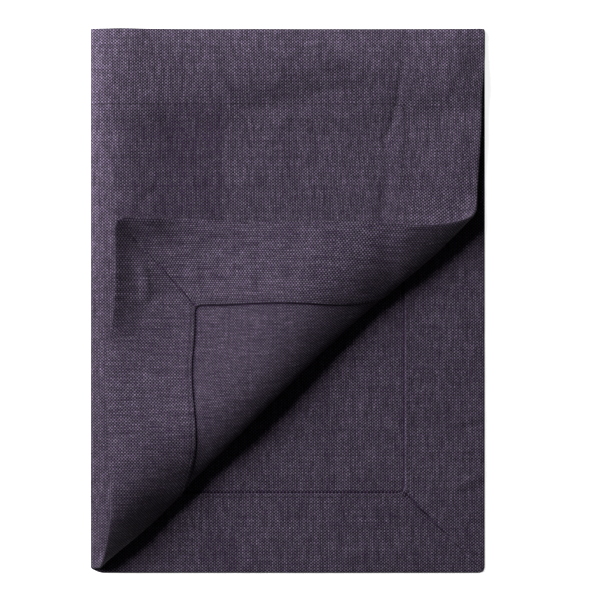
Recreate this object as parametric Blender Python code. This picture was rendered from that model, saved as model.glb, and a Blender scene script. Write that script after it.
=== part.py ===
"""A linen placemat folded in half, its lower right corner turned back over itself in a soft roll.

The cloth is one sheet with a wide mitred hem all round. It is cut flat, in u (across, from the right edge
of the bottom layer, round the fold, to the right edge of the top layer) and v (along the fold). Each point
of the flat cut is then placed in space: first round the left fold, then over the diagonal roll.
World frame: X across, Y along the fold, Z up, metres, the underside at Z = 0.
"""

import math

import bmesh
import bpy
import numpy as np

# ---------------------------------------------------------------- driving sizes, metres
HALF_X = 0.126  # half the folded mat's width
HALF_Y = 0.174  # half its depth
HEM = 0.051  # from the edge to the hem's inner fold
CORNER_ROUND = 0.004  # the cut's corners are rounded off
# The hems aren't quite even beside the turned corner: how much wider they are, at their edge and their line.
SIDE_EDGE_SPREAD = 0.0018
SIDE_LINE_SPREAD = 0.0045
NEAR_EDGE_SPREAD = 0.0035
NEAR_EDGE_TUCK = 0.0018  # over the roll the near edge is drawn in instead
NEAR_LINE_SPREAD = 0.0072
NEAR_FOLD_TUCK = 0.0034  # and at the left fold the top layer's near end stops this far short
LEDGE = 0.0006  # the step down from the hem to the plain cloth
CLOTH = 0.0012  # thickness of the plain cloth
HEM_CLOTH = 0.0020  # thickness of the hem
AIR = 0.0005  # gap between the two layers
FLAP_AIR = 0.0013  # and under the corner that is turned back over them
SEAM_DEEP = 0.0004  # the mitred seams sink by this much
SEAM_WIDE = 0.0015

# Height of the top layer's face over the surface, on plain cloth and on the hems.
OVER_CLOTH = 2 * CLOTH + AIR + 0.0002
OVER_HEM = 2 * HEM_CLOTH + AIR + 0.0002
PUFF = 0.0028  # the far hem stands proud of that
PUFF_CREST = 0.022  # from the far edge

# The left fold: a tight nose, then a long low crest that comes down onto the bottom layer.
FOLD_NOSE_RUN = 0.0125
FOLD_NOSE_TURN = 168.0
FOLD_CREST_RUN = 0.030
FOLD_TAIL_RUN = 0.030

# The diagonal fold, 45 degrees from lower left to upper right through ROLL_START.
ROLL_START = np.array((-0.117, -0.162))
ROLL_ANGLE = math.radians(45.0)
# Each row is a section across the fold, in millimetres and degrees. The cloth lifts off (rise), goes round
# (nose), over the top (crest) and down onto the top layer (tail). "reach" is how far the roll's rim stands
# past the straight line, "slack" how much the turned part is gathered towards the roll, and "slide" how far
# it slips along the fold.
ROLL_COLUMNS = (
    "along",
    "reach",
    "rise_run",
    "rise_turn",
    "nose_run",
    "nose_turn",
    "crest_run",
    "tail_run",
    "slack",
    "slide",
)
ROLL_ROWS = (
    (-40, 1.0, 10, 1, 26, 146, 44, 44, 1, 1),
    (0, 2.5, 10, 1, 28, 146, 46, 48, 1, 0),
    (35, 5.5, 10, 1, 32, 144, 38, 60, 1, -2),
    (75, 5.6, 11, 1, 36, 142, 32, 70, 1, -6),
    (155, 5.6, 12, 2, 36, 142, 30, 72, 4, -7),
    (200, 6.2, 24, 6, 30, 140, 38, 74, 3, -11),
    (250, 9.0, 38, 12, 23, 136, 52, 75, 1, -13),
    (295, 12.6, 42, 14, 20, 135, 56, 75, -1, -12),
    (330, 12.4, 42, 14, 20, 135, 56, 75, -2, -11),
)
PULL = 0.0030  # the top layer's right side is drawn in towards the roll by this much
EDGE_DRAWN_IN = 0.0022  # and its right edge by this much, from a crease at the far hem

# Where the flat cut is divided, metres: finely where the cloth turns, coarsely where it lies flat.
CROSS_STEP = 0.0115  # along the rolls
NOSE_CELLS = 10
CREST_CELLS = 6
TAIL_CELLS = 3
BANDS = (  # across the diagonal fold: from, to, step
    (-0.140, -0.044, 0.018),
    (-0.044, 0.044, 0.004),
    (0.044, 0.092, 0.008),
    (0.092, 0.200, 0.012),
)
PUFF_CUTS = (0.007, 0.014, 0.022, 0.030, 0.038, 0.045)  # from the far edge
CORNER_CUTS = (0.0013, 0.0027, 0.0040)  # from both edges, at each corner
FOLD_CROSS_CELLS = 28  # along the left fold's nose


# ---------------------------------------------------------------- curves
def ease(x):
    """0 to 1 with no corner at either end, so a section's bend starts and stops softly."""
    x = np.clip(x, 0.0, 1.0)
    return x - np.sin(2 * math.pi * x) / (2 * math.pi)


def step(x, low, high):
    s = np.clip((x - low) / (high - low), 0.0, 1.0)
    return s * s * (3 - 2 * s)


def bend(sections, cells=240):
    """The curve through sections of (run, turn): distance along it, how far out, and how high."""
    along = np.linspace(0.0, sum(run for run, _ in sections), cells + 1)
    angle, start = np.zeros_like(along), 0.0
    for run, turn in sections:
        angle += turn * ease((along - start) / run)
        start += run
    out, up = (
        np.concatenate(([0.0], np.cumsum((f[1:] + f[:-1]) / 2) * along[1]))
        for f in (np.cos(angle), np.sin(angle))
    )
    return along, out, up


def turn_back(rise, nose, crest_run, tail_run, height):
    """A curve that doubles back over itself and lands level at the given height: the crest tips past level
    by the angle that brings it there, and the tail takes that angle out again."""
    low, high = 0.0, math.radians(80)
    for _ in range(40):
        tip = (low + high) / 2
        curve = bend((rise, nose, (crest_run, math.pi - rise[1] - nose[1] + tip), (tail_run, -tip)))
        low, high = (tip, high) if curve[2][-1] > height else (low, tip)
    return curve


def through(x, xs, ys):
    """A smooth curve through the table's rows."""
    slope = np.gradient(ys, xs)
    i = int(np.clip(np.searchsorted(xs, x) - 1, 0, len(xs) - 2))
    wide = xs[i + 1] - xs[i]
    s = np.clip((x - xs[i]) / wide, 0.0, 1.0)
    return (
        (2 * s**3 - 3 * s**2 + 1) * ys[i]
        + (s**3 - 2 * s**2 + s) * wide * slope[i]
        + (3 * s**2 - 2 * s**3) * ys[i + 1]
        + (s**3 - s**2) * wide * slope[i + 1]
    )


# ---------------------------------------------------------------- the left fold
FOLD_NOSE = (FOLD_NOSE_RUN, math.radians(FOLD_NOSE_TURN))
FOLD_ARC, FOLD_OUT, FOLD_UP = turn_back((1e-6, 0.0), FOLD_NOSE, FOLD_CREST_RUN, FOLD_TAIL_RUN, OVER_CLOTH)
FOLD_X = FOLD_OUT.max() - HALF_X  # where the bottom layer leaves the surface
U_FOLD = HALF_X - FOLD_X  # and in the flat cut
U_TOP = U_FOLD + FOLD_ARC[-1]  # where the top layer has come down
X_TOP = FOLD_X - FOLD_OUT[-1]
U_END = U_TOP + HALF_X - X_TOP  # the cut's whole width
RIM = int(FOLD_OUT.argmax())  # from here on the fold's curve is its upper side


def fold_height(x):
    """How high the left fold's upper side stands at x."""
    return np.interp(x, FOLD_X - FOLD_OUT[RIM:], FOLD_UP[RIM:])


# ---------------------------------------------------------------- the diagonal fold
ALONG = np.array((math.cos(ROLL_ANGLE), math.sin(ROLL_ANGLE)))
ACROSS = np.array((math.sin(ROLL_ANGLE), -math.cos(ROLL_ANGLE)))
SECTION_STEP = 0.005
SECTIONS_AT = np.arange(-0.045, 0.3351, SECTION_STEP)


def roll_sections():
    """The fold's sections every few millimetres along it, as arrays: a row for each section."""
    table = {name: np.array(column, float) for name, column in zip(ROLL_COLUMNS, zip(*ROLL_ROWS))}
    at = table.pop("along") / 1000
    made = {name: [] for name in ("start", "length", "turned_by", "slack", "slide", "out", "up")}
    for place_along in SECTIONS_AT:
        row = {name: float(through(place_along, at, column)) for name, column in table.items()}
        runs = {name: value / 1000 for name, value in row.items() if not name.endswith("turn")}
        rise = (runs["rise_run"], math.radians(row["rise_turn"]))
        nose = (runs["nose_run"], math.radians(row["nose_turn"]))
        arc, out, up = turn_back(rise, nose, runs["crest_run"], runs["tail_run"], FLAP_AIR)
        made["start"].append(runs["reach"] - out.max())
        made["length"].append(arc[-1])
        made["turned_by"].append(rise[0] + nose[0])
        made["slack"].append(runs["slack"])
        made["slide"].append(runs["slide"])
        made["out"].append(out)
        made["up"].append(up)
    return {name: np.array(rows) for name, rows in made.items()}


ROLL = roll_sections()


def over_the_roll(x, y):
    """Where a point of the flat top layer goes: x, y, how far up, and how far round the fold it is."""
    flat = np.stack((x, y), -1) - ROLL_START
    along, across = flat @ ALONG, flat @ ACROSS
    row = np.clip((along - SECTIONS_AT[0]) / SECTION_STEP, 0, len(SECTIONS_AT) - 1.001)
    low_row = row.astype(int)
    part = row - low_row

    def here(name):
        return ROLL[name][low_row] * (1 - part) + ROLL[name][low_row + 1] * part

    start, length, turned_by = here("start"), here("length"), here("turned_by")
    arc = across - start
    cells = ROLL["out"].shape[1] - 1
    column = np.clip(arc / length, 0, 1) * cells
    low_column = np.clip(column.astype(int), 0, cells - 1)
    rest = column - low_column

    def on_curve(name):
        ends = [
            ROLL[name][r, low_column] * (1 - rest) + ROLL[name][r, low_column + 1] * rest
            for r in (low_row, low_row + 1)
        ]
        return ends[0] * (1 - part) + ends[1] * part

    gathered = ease((arc - turned_by / 2) / (length - turned_by / 2))
    across = start + on_curve("out") - np.maximum(arc - length, 0) + np.minimum(arc, 0)
    across = across + here("slack") * gathered
    along = along + here("slide") * ease(arc / (1.4 * turned_by))
    placed = ROLL_START + along[..., None] * ALONG + across[..., None] * ACROSS
    drawn = PULL * step(x, -0.03, 0.07) * step(-y, -0.125, -0.045)
    drawn = drawn + EDGE_DRAWN_IN * step(x, 0.05, 0.09) * step(-y, -0.160, -0.125)
    drawn = drawn * (1 - step(arc, 0.2 * turned_by, turned_by))
    return placed[..., 0] - drawn, placed[..., 1], on_curve("up"), arc


# ---------------------------------------------------------------- the whole cloth
def over_hems(x, y):
    """How much higher the top layer lies near the edges, where hem lies on hem."""
    from_far = HALF_Y - y
    inside = np.minimum(HALF_Y - np.abs(y), HALF_X - x)
    raised = (OVER_HEM - OVER_CLOTH) * (1 - step(inside, HEM + 0.001, HEM + 0.012))
    puff = np.where(
        from_far < PUFF_CREST,
        np.sin(math.pi / 2 * np.clip(from_far / PUFF_CREST, 0, 1)),
        np.cos(math.pi / 2 * np.clip((from_far - PUFF_CREST) / (HEM + 0.001 - PUFF_CREST), 0, 1)) ** 1.5,
    )
    return raised + PUFF * puff * step(HALF_X - x, 0, 0.020)


def rounded(from_side, from_end):
    """How far a square corner's points are drawn in to make it round: both are distances from its edges."""
    a, b = (np.clip(1 - d / CORNER_ROUND, 0, 1) for d in (from_side, from_end))
    return CORNER_ROUND * a * (1 - np.sqrt(1 - b * b / 2)), CORNER_ROUND * b * (1 - np.sqrt(1 - a * a / 2))


def swell(x, middle, half_wide):
    """A soft hump, 1 in the middle and 0 from half_wide on either side."""
    return np.cos(math.pi / 2 * np.clip((x - middle) / half_wide, -1, 1)) ** 2


def uneven(u, v):
    """The cloth isn't quite square: its hems widen beside the turned corner, and its corners are rounded."""
    side, end = U_END - u, HALF_Y + v
    beside = step(-v, -0.060, 0.0)
    wide = SIDE_EDGE_SPREAD * beside * np.clip(1 - side / HEM, 0, 1)
    wide = wide - SIDE_LINE_SPREAD * step(-v, -0.120, 0.0) * np.clip(1 - np.abs(side - HEM) / HEM, 0, 1)
    edge = NEAR_EDGE_SPREAD * swell(side, 0.100, 0.055) - NEAR_EDGE_TUCK * swell(side, 0.185, 0.040)
    edge = edge - NEAR_FOLD_TUCK * step(u, U_FOLD - 0.003, U_FOLD + 0.009) * step(side, 0.180, 0.235)
    line = NEAR_LINE_SPREAD * swell(side, 0.137, 0.060)
    deep = edge * np.clip(1 - end / HEM, 0, 1) - line * np.clip(1 - np.abs(end - HEM) / HEM, 0, 1)
    in_side, in_end = rounded(np.minimum(u, side), HALF_Y - np.abs(v))
    return u + wide + np.where(u < side, in_side, -in_side), v - deep - np.sign(v) * in_end


def right_side(u, v):
    """Where the cloth's right side goes: the underside of the bottom layer, the upper side of the top one."""
    u, v = uneven(u, v)
    arc = np.clip(u - U_FOLD, 0, FOLD_ARC[-1])
    x = np.where(u > U_TOP, X_TOP + u - U_TOP, FOLD_X - np.interp(arc, FOLD_ARC, FOLD_OUT))
    x = np.where(u < U_FOLD, HALF_X - u, x)
    z = np.interp(arc, FOLD_ARC, FOLD_UP)
    on_top = step(arc, 0.004, 0.020)
    rolled_x, rolled_y, up, round_roll = over_the_roll(x, v)
    placed_x = x + on_top * (rolled_x - x)
    placed_y = v + on_top * (rolled_y - v)
    up = up + over_hems(placed_x, placed_y)
    up = up + np.where(round_roll > 0, fold_height(placed_x) - fold_height(x), 0)
    return np.stack((placed_x, placed_y, z + on_top * up), -1)


def thickness(u, v):
    from_edge = np.minimum(np.minimum(u, U_END - u), HALF_Y - np.abs(v))
    from_side = np.minimum(u, U_END - u)
    from_end = HALF_Y - np.abs(v)
    thick = HEM_CLOTH + (CLOTH - HEM_CLOTH) * np.clip((from_edge - HEM) / LEDGE, 0, 1)
    seam = np.clip(1 - np.abs(from_side - from_end) / (SEAM_WIDE * math.sqrt(2)), 0, 1)
    return thick - SEAM_DEEP * seam * (from_edge < HEM + LEDGE / 2)


def both_sides(u, v, reach=2e-4):
    """The cloth's right side and its wrong side, which lies inside the left fold."""
    here = right_side(u, v)
    along_u = right_side(u + reach, v) - right_side(u - reach, v)
    along_v = right_side(u, v + reach) - right_side(u, v - reach)
    inward = np.cross(along_v, along_u)
    inward /= np.linalg.norm(inward, axis=-1, keepdims=True)
    return here, here + inward * thickness(u, v)[:, None]


# ---------------------------------------------------------------- the flat cut, divided
def cut(bm, point, across_line, where=None):
    """Divides the flat faces along a straight line, only those whose middle is inside where, if given."""
    faces = [f for f in bm.faces if where is None or where(f.calc_center_median())]
    geometry = set(faces)
    for face in faces:
        geometry.update(face.edges)
        geometry.update(face.verts)
    bmesh.ops.bisect_plane(
        bm, geom=list(geometry), dist=1e-6, plane_co=(*point, 0.0), plane_no=(*across_line, 0.0)
    )


def from_edges(p):
    """How far a point of the flat cut is from its nearest side (in u) and its nearest end (in v)."""
    return min(p.x, U_END - p.x), HALF_Y - abs(p.y)


def cut_hems(bm):
    """The hem's inner fold all round, with the small step beside it."""
    for from_edge in (HEM, HEM + LEDGE):
        for u in (from_edge, U_END - from_edge):
            cut(bm, (u, 0), (1, 0))
        for v in (from_edge - HALF_Y, HALF_Y - from_edge):
            cut(bm, (0, v), (0, 1))


def cut_left_fold(bm):
    """Lines along the fold, close together round its nose, and lines across the nose."""
    nose_end = U_FOLD + FOLD_NOSE_RUN
    crest_end = nose_end + FOLD_CREST_RUN
    lines = list(np.linspace(U_FOLD, nose_end, NOSE_CELLS + 1))
    lines += list(np.linspace(nose_end, crest_end, CREST_CELLS + 1)[1:])
    lines += list(np.linspace(crest_end, U_TOP, TAIL_CELLS + 1)[1:])
    for u in lines:
        cut(bm, (u, 0), (1, 0))
    for v in np.linspace(-HALF_Y, HALF_Y, FOLD_CROSS_CELLS + 1)[1:-1]:
        cut(bm, (0, v), (0, 1), lambda p: U_FOLD < p.x < nose_end)


def cut_corners(bm):
    """At each corner a mitred seam, slanting in from the corner, and small cells for its rounding."""
    corners = ((0, -HALF_Y, -1), (U_END, -HALF_Y, 1), (U_END, HALF_Y, -1), (0, HALF_Y, 1))
    for side_u, end_v, slant in corners:

        def here(p, reach=HEM):
            side, end = from_edges(p)
            return side < reach and end < reach and abs(p.x - side_u) < HEM and p.y * end_v > 0

        for aside in (-SEAM_WIDE, 0, SEAM_WIDE):
            cut(bm, (side_u + aside * math.sqrt(2), end_v), (1, slant), here)
        for from_edge in CORNER_CUTS:
            cut(bm, (abs(side_u - from_edge), 0), (1, 0), lambda p: here(p, 0.006))
            cut(bm, (0, end_v - math.copysign(from_edge, end_v)), (0, 1), lambda p: here(p, 0.006))


def cut_diagonal_fold(bm):
    """Lines along the diagonal roll and across it, on the top layer."""

    def on_top(p):
        return p.x > U_FOLD + FOLD_NOSE_RUN

    start = np.array((ROLL_START[0] - X_TOP + U_TOP, ROLL_START[1]))
    for low, high, gap in BANDS:
        for across in np.arange(low, high - gap / 2, gap):
            cut(bm, tuple(start + across * ACROSS), tuple(ACROSS), on_top)
    for along in np.arange(-4 * CROSS_STEP, 0.45, CROSS_STEP):
        cut(bm, tuple(start + along * ALONG), tuple(ALONG), on_top)


def flat_cut():
    """The cut as a flat mesh: hem lines, mitres, the fold's lines and the roll's lines are all edges."""
    bm = bmesh.new()
    corners = ((0, -HALF_Y), (U_END, -HALF_Y), (U_END, HALF_Y), (0, HALF_Y))
    bm.faces.new([bm.verts.new((*c, 0.0)) for c in corners])
    cut_hems(bm)
    cut_left_fold(bm)
    for from_far in PUFF_CUTS:
        cut(bm, (0, HALF_Y - from_far), (0, 1), lambda p: p.x > U_FOLD)
    cut_corners(bm)
    cut_diagonal_fold(bm)
    bmesh.ops.remove_doubles(bm, verts=bm.verts, dist=1e-4)
    bmesh.ops.triangulate(bm, faces=bm.faces, quad_method="BEAUTY", ngon_method="BEAUTY")
    return bm


def folded_cloth(name):
    """The folded sheet as one closed mesh: its right side, its wrong side and the edge between them."""
    bm = flat_cut()
    bm.verts.index_update()
    flat = np.array([v.co[:2] for v in bm.verts])
    right, wrong = both_sides(flat[:, 0], flat[:, 1])
    count = len(flat)
    faces = [[v.index for v in f.verts] for f in bm.faces]
    closed = faces + [[i + count for i in reversed(face)] for face in faces]
    for edge in bm.edges:
        if len(edge.link_faces) == 1:
            loop = edge.link_loops[0]
            a, b = loop.vert.index, loop.link_loop_next.vert.index
            closed.append([b, a, a + count, b + count])
    bm.free()
    mesh = bpy.data.meshes.new(name)
    mesh.from_pydata([tuple(p) for p in np.concatenate((right, wrong))], [], closed)
    mesh.update()
    body = bpy.data.objects.new(name, mesh)
    bpy.context.scene.collection.objects.link(body)
    return body


def linen():
    """Plum-grey linen, dull and rough."""
    material = bpy.data.materials.new("plum_linen")
    material.use_nodes = True
    shader = material.node_tree.nodes["Principled BSDF"]
    shader.inputs["Base Color"].default_value = (0.065, 0.050, 0.078, 1.0)
    shader.inputs["Roughness"].default_value = 0.9
    shader.inputs["Metallic"].default_value = 0.0
    return material


def main():
    for old in list(bpy.data.objects):
        bpy.data.objects.remove(old)
    body = folded_cloth("placemat")
    body.data.materials.append(linen())


main()
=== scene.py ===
# %% [markdown]
# # A linen placemat, folded, with one corner turned back
#
# The real thing is one rectangle of plain-woven linen. All four sides are turned in to make a wide hem,
# the corners are mitred, and one line of stitching holds the hem down. Here it lies folded in half, and
# the near right corner of the top layer is turned back over it in a soft roll.
#
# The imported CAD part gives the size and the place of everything. This script makes the looks: a finer
# sheet with its soft unevenness, the stitching, the weave, the light and the camera.

import math

import bpy
import numpy as np
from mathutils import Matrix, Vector, noise


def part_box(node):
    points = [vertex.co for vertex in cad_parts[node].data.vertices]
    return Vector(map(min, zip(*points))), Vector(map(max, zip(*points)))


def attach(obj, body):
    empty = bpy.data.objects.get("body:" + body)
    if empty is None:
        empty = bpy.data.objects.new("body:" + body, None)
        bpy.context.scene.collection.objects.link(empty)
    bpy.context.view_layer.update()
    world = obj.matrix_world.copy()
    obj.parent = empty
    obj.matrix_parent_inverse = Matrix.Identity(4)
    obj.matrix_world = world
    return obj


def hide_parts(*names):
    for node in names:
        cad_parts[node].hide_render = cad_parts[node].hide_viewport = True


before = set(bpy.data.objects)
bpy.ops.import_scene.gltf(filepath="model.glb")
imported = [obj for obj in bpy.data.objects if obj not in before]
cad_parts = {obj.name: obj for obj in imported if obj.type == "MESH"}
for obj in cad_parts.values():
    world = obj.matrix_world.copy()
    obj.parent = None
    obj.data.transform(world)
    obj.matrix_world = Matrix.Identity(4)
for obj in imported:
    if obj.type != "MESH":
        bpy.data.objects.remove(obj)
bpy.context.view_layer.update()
node_low, node_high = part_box("placemat")
HALF_X = (node_high.x - node_low.x) / 2
HALF_Y = (node_high.y - node_low.y) / 2

# %% [markdown]
# ## The cloth's own sizes
#
# Cloth is easiest to think of flat. Every point of the flat cut has two numbers. The first, u, runs across
# the mat: from the right edge of the bottom layer, round the left fold, to the right edge of the top layer.
# The second, v, runs along the fold. A function then says where each flat point ends up in space. The same
# numbers later serve as the UV map, so the weave follows the cloth round every bend, as real threads do.

# %% Sizes that every step needs, metres
HEM = 0.051  # from the edge to the hem's inner fold
LEDGE = 0.0004  # the step down from the hem to the plain cloth is this wide
BESIDE_LEDGE = 0.0005  # the cloth next to it, on either side
CLOTH = 0.0007  # one layer
HEM_CLOTH = 0.0017  # the hem's three layers
OVER_CLOTH = 0.0028  # height of the top layer's face, on plain cloth
OVER_HEM = 0.0044  # and where hem lies on hem
AT_LINE = 1e-6  # two places closer than this are the same
print("hem, millimetres wide:", round(1000 * HEM, 1))

# %% [markdown]
# ## Bends
#
# A bend is drawn by walking along the cloth and turning a little at each step. A list of (run, turn)
# pairs says how far to walk and how much to turn, and the walk gives the curve. Easing each turn in and
# out avoids corners, because cloth never bends sharply all at once. Drawing a bend this way keeps the
# cloth's length right, which a curve drawn through points would not.


# %% Soft steps
def ease(x):
    """0 to 1 with no corner at either end."""
    x = np.clip(x, 0.0, 1.0)
    return x - np.sin(2 * math.pi * x) / (2 * math.pi)


def step(x, low, high):
    """0 below low, 1 above high, and a soft change between them."""
    s = np.clip((x - low) / (high - low), 0.0, 1.0)
    return s * s * (3 - 2 * s)


def swell(x, middle, half_wide):
    """A soft hump, 1 in the middle and 0 from half_wide on either side."""
    return np.cos(math.pi / 2 * np.clip((x - middle) / half_wide, -1, 1)) ** 2


print("a soft step, by quarters:", step(np.linspace(0, 1, 5), 0, 1).round(2))

# %% Bends
BEND_CELLS = 240
STEEPEST_TIP = math.radians(80)
HALVINGS = 40


def bend(sections):
    """The curve through sections of (run, turn): distance along it, how far out, and how high."""
    along = np.linspace(0.0, sum(run for run, _ in sections), BEND_CELLS + 1)
    angle, start = np.zeros_like(along), 0.0
    for run, turn in sections:
        angle += turn * ease((along - start) / run)
        start += run
    out, up = (
        np.concatenate(([0.0], np.cumsum((f[1:] + f[:-1]) / 2) * along[1]))
        for f in (np.cos(angle), np.sin(angle))
    )
    return along, out, up


def turn_back(rise, nose, crest_run, tail_run, height, early=AT_LINE):
    """A curve that doubles back over itself and lands level at the given height.

    The crest begins early, before the nose ends: that is a run back with no turn. How steeply the crest
    comes down is found by halving, until the curve ends at the height.
    """
    low, high = 0.0, STEEPEST_TIP
    for _ in range(HALVINGS):
        tip = (low + high) / 2
        crest = (crest_run, math.pi - rise[1] - nose[1] + tip)
        curve = bend((rise, nose, (-early, 0.0), crest, (tail_run, -tip)))
        low, high = (tip, high) if curve[2][-1] > height else (low, tip)
    return curve


quarter = bend(((0.100, math.radians(90)),))
print("a quarter bend 100 mm long reaches out by", round(1000 * quarter[1][-1], 1), "mm")

# %% [markdown]
# ## The left fold
#
# Linen that is folded and not pressed hard makes a tight nose and then a long low crest, which comes down
# on the bottom layer a few centimetres in. That crest is why the mat's left side catches the light, and
# painted light on the fold, further down, makes it paler still. A half circle would be simpler, but it
# would look like a pipe under the cloth.

# %% The left fold
FOLD_NOSE_RUN = 0.0125
FOLD_NOSE_TURN = 168.0
FOLD_CREST_RUN = 0.030
FOLD_TAIL_RUN = 0.030

FOLD_NOSE = (FOLD_NOSE_RUN, math.radians(FOLD_NOSE_TURN))
FOLD = turn_back((AT_LINE, 0.0), FOLD_NOSE, FOLD_CREST_RUN, FOLD_TAIL_RUN, OVER_CLOTH)
FOLD_ARC, FOLD_OUT, FOLD_UP = FOLD
FOLD_X = FOLD_OUT.max() - HALF_X  # where the bottom layer leaves the surface
U_FOLD = HALF_X - FOLD_X  # and in the flat cut
U_TOP = U_FOLD + FOLD_ARC[-1]  # where the top layer has come down
X_TOP = FOLD_X - FOLD_OUT[-1]
U_END = U_TOP + HALF_X - X_TOP
RIM = int(FOLD_OUT.argmax())
print("flat cut, metres:", round(U_END, 4), "by", round(2 * HALF_Y, 4))


def fold_height(x):
    """How high the left fold's upper side stands at x."""
    return np.interp(x, FOLD_X - FOLD_OUT[RIM:], FOLD_UP[RIM:])


# %% [markdown]
# ## The turned corner
#
# The corner is turned back along a line at 45 degrees, and the bend is a soft open roll, fuller at its
# lower left end and flatter at its upper right one. A cloth simulation would drop the corner into some
# such roll, but not into this one. So a short table gives the roll's section at a few places along it, and
# everything between is a smooth curve through the rows.

# %% The roll's place and its rows
ROLL_START = np.array((-0.117, -0.162))
ROLL_ANGLE = math.radians(45.0)
ALONG = np.array((math.cos(ROLL_ANGLE), math.sin(ROLL_ANGLE)))
ACROSS = np.array((math.sin(ROLL_ANGLE), -math.cos(ROLL_ANGLE)))
ROLL_COLUMNS = (
    *("along", "reach", "rise_run", "rise_turn", "nose_run", "nose_turn"),
    *("early", "crest_run", "tail_run", "slack", "slide"),
)
ROLL_ROWS = (  # millimetres and degrees
    (-40, 1.0, 11.7, -9, 20.1, 136, 18, 92, 62, 1.5, 1),
    (0, 2.5, 11.7, -9, 21.1, 136, 18, 92, 62, 2.4, 0),
    (35, 5.5, 11.7, -9, 23.4, 136, 18, 92, 62, 2.5, -2),
    (75, 5.6, 21.4, 5.5, 22.7, 127, 19, 80, 77, 5.3, -6),
    (120, 5.6, 31.0, 20, 22.0, 118, 20, 68, 92, 7.6, -7),
    (155, 5.6, 31.0, 20, 22.0, 118, 20, 68, 92, 8.6, -7),
    (200, 6.2, 29.5, 9, 25.0, 126, 21, 79, 92.5, 4.8, -11),
    (250, 9.0, 28.0, -2, 28.0, 134, 22, 90, 93, 0.1, -13),
    (295, 12.6, 28.0, -2, 28.0, 134, 22, 90, 93, -2.2, -12),
    (330, 12.4, 28.0, -2, 28.0, 134, 22, 90, 93, -3.2, -11),
)
SECTION_STEP = 0.005
SECTIONS_FROM = -0.045
SECTIONS_TO = 0.3351  # just past the last one
SECTIONS_AT = np.arange(SECTIONS_FROM, SECTIONS_TO, SECTION_STEP)
print("the roll:", len(ROLL_ROWS), "rows for", len(SECTIONS_AT), "sections")

# %% The roll's sections
FLAP_AIR = 0.0010  # the flap comes down this far above the layer under it


def through(x, xs, ys):
    """A smooth curve through a table's rows."""
    slope = np.gradient(ys, xs)
    i = int(np.clip(np.searchsorted(xs, x) - 1, 0, len(xs) - 2))
    wide = xs[i + 1] - xs[i]
    s = np.clip((x - xs[i]) / wide, 0.0, 1.0)
    return (
        (2 * s**3 - 3 * s**2 + 1) * ys[i]
        + (s**3 - 2 * s**2 + s) * wide * slope[i]
        + (3 * s**2 - 2 * s**3) * ys[i + 1]
        + (s**3 - s**2) * wide * slope[i + 1]
    )


def roll_sections():
    """The fold's sections every few millimetres along it, as arrays: a row for each section."""
    table = {name: np.array(column, float) for name, column in zip(ROLL_COLUMNS, zip(*ROLL_ROWS))}
    at = table.pop("along") / 1000
    made = {name: [] for name in ("start", "length", "turned_by", "slack", "slide", "out", "up")}
    for place_along in SECTIONS_AT:
        row = {name: float(through(place_along, at, column)) for name, column in table.items()}
        runs = {name: value / 1000 for name, value in row.items() if not name.endswith("turn")}
        rise = (runs["rise_run"], math.radians(row["rise_turn"]))
        nose = (runs["nose_run"], math.radians(row["nose_turn"]))
        ends = (runs["crest_run"], runs["tail_run"], FLAP_AIR, runs["early"])
        arc, out, up = turn_back(rise, nose, *ends)
        made["start"].append(runs["reach"] - out.max())
        made["length"].append(arc[-1])
        made["turned_by"].append(rise[0] + nose[0])
        made["slack"].append(runs["slack"])
        made["slide"].append(runs["slide"])
        made["out"].append(out)
        made["up"].append(up)
    return {name: np.array(rows) for name, rows in made.items()}


ROLL = roll_sections()
crests = 1000 * ROLL["up"].max(1)
print("the roll stands", crests.min().round(1), "to", crests.max().round(1), "mm over the layer under it")

# %% Over the roll
LAST_ROW = len(SECTIONS_AT) - 1.001  # just before the last section
GATHERED_BY = 0.68  # all the slack is taken up by here, as a share of the section's length
SLID_BY = 1.4  # and the slide by here, as a share of the way to the roll's top
PULL = 0.0030  # the top layer's right side is drawn in towards the roll
PULL_X = (-0.03, 0.07)  # it sets in between these, along x and along minus y
PULL_Y = (-0.125, -0.045)
EDGE_DRAWN_IN = 0.0022
EDGE_DRAWN_X = (0.05, 0.09)
EDGE_DRAWN_Y = (-0.160, -0.125)
PULL_FADES = 0.2  # as a share of the way to the roll's top


def over_the_roll(x, y):
    """Where a point of the flat top layer goes: x, y, how far up, and how far round the fold it is."""
    flat = np.stack((x, y), -1) - ROLL_START
    along, across = flat @ ALONG, flat @ ACROSS
    row = np.clip((along - SECTIONS_AT[0]) / SECTION_STEP, 0, LAST_ROW)
    low_row = row.astype(int)
    part = row - low_row

    def here(name):
        return ROLL[name][low_row] * (1 - part) + ROLL[name][low_row + 1] * part

    start, length, turned_by = here("start"), here("length"), here("turned_by")
    arc = across - start
    cells = ROLL["out"].shape[1] - 1
    column = np.clip(arc / length, 0, 1) * cells
    low_column = np.clip(column.astype(int), 0, cells - 1)
    rest = column - low_column

    def on_curve(name):
        ends = [
            ROLL[name][r, low_column] * (1 - rest) + ROLL[name][r, low_column + 1] * rest
            for r in (low_row, low_row + 1)
        ]
        return ends[0] * (1 - part) + ends[1] * part

    gathered = ease((arc - turned_by / 2) / (GATHERED_BY * length - turned_by / 2))
    across = start + on_curve("out") - np.maximum(arc - length, 0) + np.minimum(arc, 0)
    across = across + here("slack") * gathered
    along = along + here("slide") * ease(arc / (SLID_BY * turned_by))
    rolled = ROLL_START + along[..., None] * ALONG + across[..., None] * ACROSS
    drawn = PULL * step(x, *PULL_X) * step(-y, *PULL_Y)
    drawn = drawn + EDGE_DRAWN_IN * step(x, *EDGE_DRAWN_X) * step(-y, *EDGE_DRAWN_Y)
    drawn = drawn * (1 - step(arc, PULL_FADES * turned_by, turned_by))
    return rolled[..., 0] - drawn, rolled[..., 1], on_curve("up"), arc


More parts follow.
